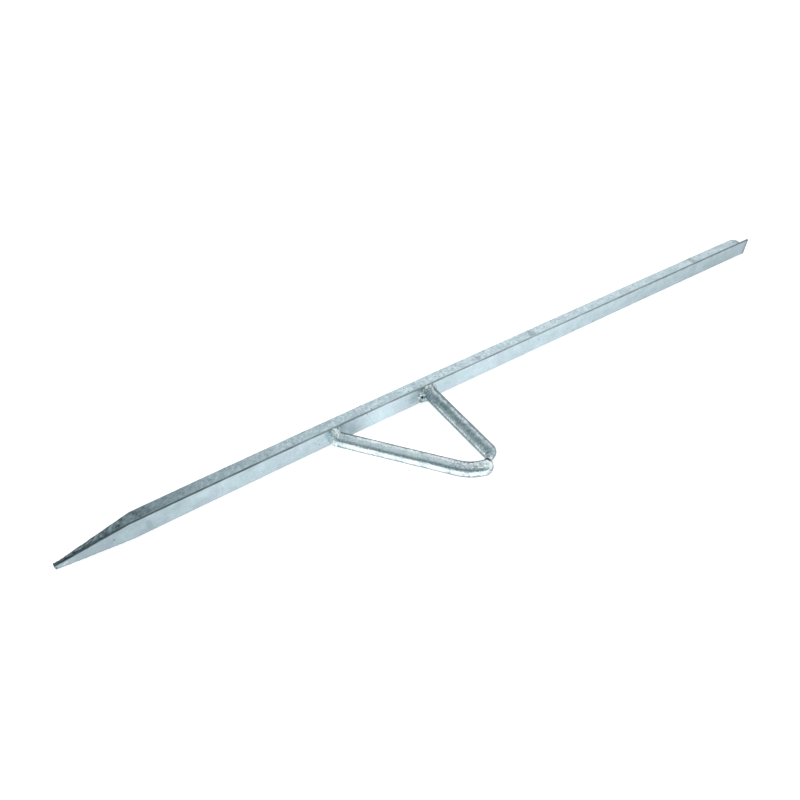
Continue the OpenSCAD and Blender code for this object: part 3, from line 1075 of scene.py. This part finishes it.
# %% Ride and replace
for piece, mat, slot, nodes in (
    (tee_bar, bar_zinc, "zinc_bar", ("tee_bar",)),
    (step_tube, tube_zinc, "zinc_tube", ("step_tube",)),
    (tread_weld, weld_zinc, "zinc_weld", ("tread_weld_upper", "tread_weld_lower")),
    (strut_weld, weld_zinc, "zinc_weld", ("strut_weld_upper", "strut_weld_lower")),
    (zinc_drops, drop_zinc, "zinc_weld", ()),
    (zinc_grains, weld_zinc, "zinc_weld", ()),
):
    piece.data.materials.append(mat)
    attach(piece, "root")
    if nodes:
        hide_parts(*nodes)
    print(piece.name, "wears", mat.name)

# %% [markdown]
# ## Floor
# The floor is a wide white sheet. Bright metal shows what is around it, so the floor's white
# matters as much as the lamps. For the camera and for reflections it adds its own glow, which
# takes it to white and still leaves a soft shadow under the part.

# %% Floor
SPAN = 12.0
corners = [(-SPAN, -SPAN, 0), (SPAN, -SPAN, 0), (SPAN, SPAN, 0), (-SPAN, SPAN, 0)]
floor_mesh = bpy.data.meshes.new("floor")
floor_mesh.from_pydata(corners, [], [(0, 1, 2, 3)])
floor = bpy.data.objects.new("floor", floor_mesh)
floor.location = (BAR_LEN / 2 * MM, 0, cad_box[0].z)
bpy.context.scene.collection.objects.link(floor)

FLOOR_GLOW = 0.74
floor_mat = bpy.data.materials.new("white floor")
floor_mat.use_nodes = True
tree = floor_mat.node_tree
tree.nodes.clear()
path = add(tree, "ShaderNodeLightPath").outputs
seen = maths(tree, "MAXIMUM", path["Is Camera Ray"], path["Is Glossy Ray"])
seen = maths(tree, "MAXIMUM", seen, path["Is Transmission Ray"])
diffuse = add(tree, "ShaderNodeBsdfDiffuse")
diffuse.inputs["Color"].default_value = (0.8, 0.8, 0.8, 1)
glow = add(tree, "ShaderNodeEmission")
tree.links.new(maths(tree, "MULTIPLY", seen, FLOOR_GLOW), glow.inputs["Strength"])
both = add(tree, "ShaderNodeAddShader")
output = add(tree, "ShaderNodeOutputMaterial")
tree.links.new(diffuse.outputs[0], both.inputs[0])
tree.links.new(glow.outputs[0], both.inputs[1])
tree.links.new(both.outputs[0], output.inputs["Surface"])
floor.data.materials.append(floor_mat)
print("floor at z =", round(floor.location.z, 4))

# %% [markdown]
# ## Light
# The room is what the zinc shows, so it is written as one: white at the horizon, a wide soft
# window behind the head of the bar, and grey on the side of the point, where the room is dark.
# A plain grey room would make the metal look like plastic. One ramp runs from the horizon up on
# the bright side, another on the dark side, and a third, round the compass, mixes the two.

# %% The room, as colour ramps
def ramp_node(tree, stops, value):
    """A colour ramp from (place, grey, coolness) stops."""
    node = add(tree, "ShaderNodeValToRGB")
    elements = node.color_ramp.elements
    while len(elements) < len(stops):
        elements.new(0.5)
    for element, (place, grey, cool) in zip(elements, stops):
        element.position = place
        element.color = (grey * (1 - cool), grey, grey * (1 + 0.25 * cool), 1)
    tree.links.new(value, node.inputs["Fac"])
    return node.outputs["Color"]


DARK_SIDE = (
    (0.0, 1.0, 0.0), (0.09, 0.96, 0.01), (0.18, 0.60, 0.08), (0.28, 0.23, 0.24),
    (0.66, 0.22, 0.24), (0.80, 0.40, 0.20), (0.91, 0.58, 0.15), (1.0, 0.62, 0.13),
)
BRIGHT_SIDE = (
    (0.0, 1.0, 0.0), (0.10, 1.0, 0.0), (0.24, 1.0, 0.01), (0.50, 1.02, 0.02),
    (0.76, 1.0, 0.03), (0.84, 0.80, 0.05), (0.92, 0.66, 0.05), (1.0, 0.62, 0.03),
)
# degrees from +Y towards +X, share of the bright side
COMPASS = (
    (-180, 0.10), (-120, 0.0), (-85, 0.20), (-58, 0.50), (-46, 0.20), (-36, 0.08), (-12, 0.02),
    (0, 0.06), (11, 0.42), (20, 0.70), (31, 0.96), (45, 1.0), (60, 1.0),
    (105, 1.0), (148, 0.95), (164, 0.5), (177, 0.10), (180, 0.10),
)

print("stops:", len(DARK_SIDE), "dark,", len(BRIGHT_SIDE), "bright,", len(COMPASS), "round the compass")

# %% [markdown]
# ## The world
# The direction that a ray leaves in says where on the ramps it ends: its height is the Z of the
# generated coordinates, and its compass angle comes from X and Y. The metal shows the room, while
# the camera, where it looks past the floor, sees plain white.

# %% World
world = bpy.data.worlds.new("studio")
bpy.context.scene.world = world
world.use_nodes = True
tree = world.node_tree
tree.nodes.clear()
coords = add(tree, "ShaderNodeTexCoord")
split = add(tree, "ShaderNodeSeparateXYZ")
tree.links.new(coords.outputs["Generated"], split.inputs["Vector"])
compass = maths(tree, "ARCTAN2", split.outputs["X"], split.outputs["Y"])
compass = maths(tree, "MULTIPLY_ADD", compass, 0.5 / math.pi, 0.5)
share = ramp_node(tree, [((d + 180) / 360, v, 0.0) for d, v in COMPASS], compass)
dark = ramp_node(tree, DARK_SIDE, split.outputs["Z"])
bright = ramp_node(tree, BRIGHT_SIDE, split.outputs["Z"])
room = mix_colour(tree, share, dark, bright)
path = add(tree, "ShaderNodeLightPath").outputs
room = mix_colour(tree, path["Is Camera Ray"], room, (1.0, 1.0, 1.0))
background = add(tree, "ShaderNodeBackground")
world_out = add(tree, "ShaderNodeOutputWorld")
tree.links.new(room, background.inputs["Color"])
tree.links.new(background.outputs[0], world_out.inputs["Surface"])
print("world:", len(tree.nodes), "nodes")

# %% [markdown]
# ## Lamps
# A soft lamp stands where the window is and gives the part its shadow. It is not mirrored in the
# metal, because the room already shows the window. A small lamp above the viewer is mirrored, and
# puts sparks on the drops of zinc.

# %% Lamps
aim = Vector((0.3917 * BAR_LEN, 9.5, -0.4)) * MM


def direction(azimuth, elevation):
    """A unit vector. Azimuth 0 stands at -Y and 90 at +X."""
    a, e = math.radians(azimuth), math.radians(elevation)
    return Vector((math.sin(a) * math.cos(e), -math.cos(a) * math.cos(e), math.sin(e)))


def soft_lamp(name, azimuth, elevation, distance, width, height, radiance, mirrored=False):
    """A rectangular lamp that looks at the aim."""
    back = direction(azimuth, elevation)
    lamp = bpy.data.lights.new(name, "AREA")
    lamp.shape, lamp.size, lamp.size_y = "RECTANGLE", width, height
    lamp.energy = radiance * math.pi * width * height
    holder = bpy.data.objects.new(name, lamp)
    holder.location = aim + back * distance
    holder.rotation_mode = "QUATERNION"
    holder.rotation_quaternion = (-back).to_track_quat("-Z", "Y")
    holder.visible_camera = False
    holder.visible_glossy = mirrored
    bpy.context.scene.collection.objects.link(holder)
    print(name, "at", tuple(round(c, 2) for c in holder.location))


soft_lamp("soft lamp behind the head", 130, 35, 3.0, 2.6, 1.6, 0.45)
soft_lamp("small lamp above the viewer", 20, 62, 2.2, 0.13, 0.11, 14.0, mirrored=True)

# %% [markdown]
# ## Camera
# The camera stands above and in front of the flange, near the point, and looks along the bar and
# down on it. The lens is a little wide, so that the head looks smaller than the point.

# %% Camera
CAMERA_AZIMUTH, CAMERA_ELEVATION, CAMERA_DISTANCE = -33.53, 43.9, 1.036
LENS, SENSOR_WIDTH = 32.291, 36.0
back = direction(CAMERA_AZIMUTH, CAMERA_ELEVATION)
camera_data = bpy.data.cameras.new("camera")
camera_data.lens, camera_data.sensor_width = LENS, SENSOR_WIDTH
camera = bpy.data.objects.new("camera", camera_data)
camera.location = aim + back * CAMERA_DISTANCE
camera.rotation_mode = "QUATERNION"
camera.rotation_quaternion = (-back).to_track_quat("-Z", "Y")
bpy.context.scene.collection.objects.link(camera)
bpy.context.scene.camera = camera
bpy.context.scene.view_settings.view_transform = "Standard"
print("camera at", tuple(round(c, 3) for c in camera.location))
